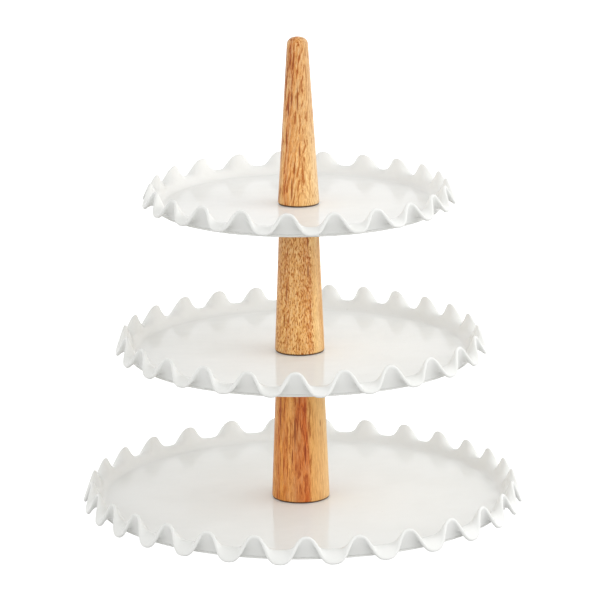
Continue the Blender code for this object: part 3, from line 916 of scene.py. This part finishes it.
def make_insert(node, body, zinc):
    """A sleeve with a knurled outside, eased ends and an inner thread."""
    low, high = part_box(node)
    outer = 0.5 * (high.x - low.x)
    angles = circle_angles()
    knurl = outer - KNURL_DEPTH * (np.arange(SMALL_SIDES) % 2)
    rings = [around(outer - KNURL_DEPTH, low.z, angles), around(outer, low.z + KNURL_DEPTH, angles)]
    rings += [around(knurl, low.z + 3 * KNURL_DEPTH, angles)]
    rings += [around(knurl, high.z - 3 * KNURL_DEPTH, angles)]
    rings += [around(outer, high.z - KNURL_DEPTH, angles), around(outer - KNURL_DEPTH, high.z, angles)]
    rings += thread_rings(high.z, low.z, INSERT_BORE_RADIUS, -THREAD_DEPTH)
    points = np.concatenate(rings)
    faces = looped_faces(len(rings), SMALL_SIDES, closed=True)
    add_piece(f"threaded_{node}", points, faces, (zinc,), body, (node,), METAL_SHARP)


def make_ring(node, body, spread, material):
    """A flat ring with eased edges: a gasket, seat, seal or washer."""
    low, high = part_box(node)
    outer = 0.5 * (high.x - low.x) + spread
    hole = RING_HOLE_RADIUS
    middle = 0.5 * (hole + outer)
    corners = [(middle, high.z), (outer, high.z), (outer, low.z), (hole, low.z), (hole, high.z)]
    corners += [(RING_CLOSE_SHARE * middle, high.z)]
    outline = round_corners(corners, EDGE_ROUNDING)
    turned_piece(f"shaped_{node}", node, body, outline, RING_SIDES, material)


def make_pad(node, silicone):
    """A round pad with a soft shoulder."""
    low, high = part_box(node)
    centre = (0.5 * (low.x + high.x), 0.5 * (low.y + high.y))
    radius = 0.5 * (high.x - low.x)
    corners = [(0.0, high.z), (PAD_TOP_SHARE * radius, high.z), (radius, PAD_SHOULDER_SHARE * high.z)]
    corners += [(radius, 0.0), (0.0, 0.0)]
    outline = round_corners(corners, PAD_ROUNDING)
    turned_piece(
        f"moulded_{node}", node, "base", outline, SMALL_SIDES, silicone, centre
    )


def make_frame_camera():
    """A long lens that looks down on the stand from the front."""
    elevation = math.radians(CAMERA_ELEVATION)
    aim = Vector(CAMERA_AIM)
    back = Vector((0.0, -math.cos(elevation), math.sin(elevation)))
    data = bpy.data.cameras.new("camera")
    data.lens = CAMERA_LENS
    data.sensor_width = 36.0
    data.clip_start = 0.1
    data.clip_end = 60.0
    camera = bpy.data.objects.new("camera", data)
    bpy.context.scene.collection.objects.link(camera)
    camera.location = aim + back * CAMERA_DISTANCE
    camera.rotation_euler = (-back).to_track_quat("-Z", "Y").to_euler()
    camera.rotation_euler.rotate_axis("Z", math.radians(CAMERA_ROLL))
    bpy.context.scene.camera = camera


def make_softbox(name, azimuth, elevation, distance, size, power):
    """A square softbox aimed at the middle of the stand."""
    a = math.radians(azimuth)
    e = math.radians(elevation)
    aim = Vector(CAMERA_AIM)
    back = Vector((math.sin(a) * math.cos(e), -math.cos(a) * math.cos(e), math.sin(e)))
    data = bpy.data.lights.new(name, "AREA")
    data.shape = "SQUARE"
    data.size = size
    data.energy = power
    light = bpy.data.objects.new(name, data)
    bpy.context.scene.collection.objects.link(light)
    light.location = aim + back * distance
    light.rotation_euler = (-back).to_track_quat("-Z", "Y").to_euler()


def glowing_material(name):
    """Plain white that shines, so that it stays white in the stand's shade."""
    material = bpy.data.materials.new(name)
    material.use_nodes = True
    shader = material.node_tree.nodes["Principled BSDF"]
    shader.inputs["Base Color"].default_value = (0.4, 0.4, 0.4, 1.0)
    shader.inputs["Roughness"].default_value = 0.9
    shader.inputs["Specular IOR Level"].default_value = 0.2
    shader.inputs["Emission Color"].default_value = (1.0, 1.0, 1.0, 1.0)
    shader.inputs["Emission Strength"].default_value = 1.0
    return material


def add_stage(name, points, faces):
    mesh = bpy.data.meshes.new(name)
    mesh.from_pydata([tuple(point) for point in points], [], faces)
    mesh.materials.append(glowing_material(f"white_{name}"))
    stage = bpy.data.objects.new(name, mesh)
    bpy.context.scene.collection.objects.link(stage)
    stage.visible_diffuse = False
    return stage


def make_backdrop():
    """A white dome, far behind the floor, that only the camera sees."""
    angles = circle_angles()
    rings = []
    for turn in np.linspace(0.0, BACKDROP_TOP, BACKDROP_RINGS):
        width = BACKDROP_RADIUS * math.cos(turn)
        rings.append(around(width, BACKDROP_RADIUS * math.sin(turn) - BACKDROP_SINK, angles))
    faces = looped_faces(BACKDROP_RINGS, SMALL_SIDES, closed=False)
    dome = add_stage("backdrop", np.concatenate(rings), faces)
    dome.visible_glossy = False
    dome.visible_shadow = False


def room_level(world, direction, start, end, low, high):
    """A share of the room's light that changes from low to high along one direction."""
    level = world.nodes.new("ShaderNodeMapRange")
    level.inputs["From Min"].default_value = start
    level.inputs["From Max"].default_value = end
    level.inputs["To Min"].default_value = low
    level.inputs["To Max"].default_value = high
    world.links.new(direction, level.inputs["Value"])
    return level.outputs[0]


def make_room():
    """Light that is brightest over the horizon, dimmer straight behind and from the ground."""
    room = bpy.data.worlds.new("room")
    bpy.context.scene.world = room
    room.use_nodes = True
    world = room.node_tree
    background = world.nodes["Background"]
    way = world.nodes.new("ShaderNodeTexCoord")
    split = world.nodes.new("ShaderNodeSeparateXYZ")
    world.links.new(way.outputs["Generated"], split.inputs[0])
    ramp = world.nodes.new("ShaderNodeValToRGB")
    set_stops(ramp.color_ramp, [(place, (level, level, level)) for place, level in ROOM_LEVELS])
    world.links.new(room_level(world, split.outputs["Z"], -1.0, 1.0, 0.0, 1.0), ramp.inputs[0])
    world.links.new(ramp.outputs["Color"], background.inputs["Color"])
    left = ROOM_LIGHT * (1.0 - SIDE_LIGHT)
    right = ROOM_LIGHT * (1.0 + SIDE_LIGHT)
    strength = world.nodes.new("ShaderNodeMath")
    strength.operation = "MULTIPLY"
    side = room_level(world, split.outputs["X"], -1.0, 1.0, left, right)
    back = room_level(world, split.outputs["Y"], BACK_DIP_FROM, BACK_DIP_FULL, 1.0, BACK_DIP)
    world.links.new(side, strength.inputs[0])
    world.links.new(back, strength.inputs[1])
    world.links.new(strength.outputs[0], background.inputs["Strength"])


def make_studio():
    """A white table in a bright, even room, with one soft light to the right."""
    reach = FLOOR_REACH
    corners = [(-reach, -reach, 0.0), (reach, -reach, 0.0), (reach, reach, 0.0), (-reach, reach, 0.0)]
    add_stage("floor", corners, [(0, 1, 2, 3)])
    make_backdrop()
    make_room()
    make_softbox("key", KEY_AZIMUTH, KEY_ELEVATION, KEY_DISTANCE, KEY_SIZE, KEY_POWER)
    bpy.context.scene.view_settings.view_transform = "Standard"


def make_fasteners():
    """The screws, studs, inserts, rings and pads that hold the tiers together."""
    zinc = zinc_finish()
    rubber = rubber_finish()
    silicone = silicone_finish()
    make_base_screw(zinc)
    make_ring("base_washer", "base_fastener", 0.0, zinc)
    make_ring("base_seal", "base_fastener", 0.0, rubber)
    for post, gasket_body, column in (
        ("lower_post", "lower_gasket", "lower_column"),
        ("middle_post", "middle_gasket", "middle_column"),
    ):
        make_ring(f"{post}_gasket", gasket_body, GASKET_SPREAD, rubber)
        make_ring(f"{post}_seat", column, GASKET_SPREAD, rubber)
        make_insert(f"{post}_insert", column, zinc)
        make_stud(f"{post}_stud", column, zinc)
    make_ring("handle_gasket", "handle_gasket_ring", GASKET_SPREAD, rubber)
    make_insert("handle_insert", "handle", zinc)
    for number in (1, 2, 3, 4):
        make_pad(f"foot_pad_{number}", silicone)


def main():
    make_frame_camera()
    make_studio()
    glaze = glaze_finish()
    bisque = bisque_finish()
    for tier in TIERS:
        make_plate(tier, glaze, bisque)
    make_post("lower_post", "lower_column", LOWER_WOOD)
    make_post("middle_post", "middle_column", MIDDLE_WOOD)
    make_handle(HANDLE_WOOD)
    make_fasteners()


main()
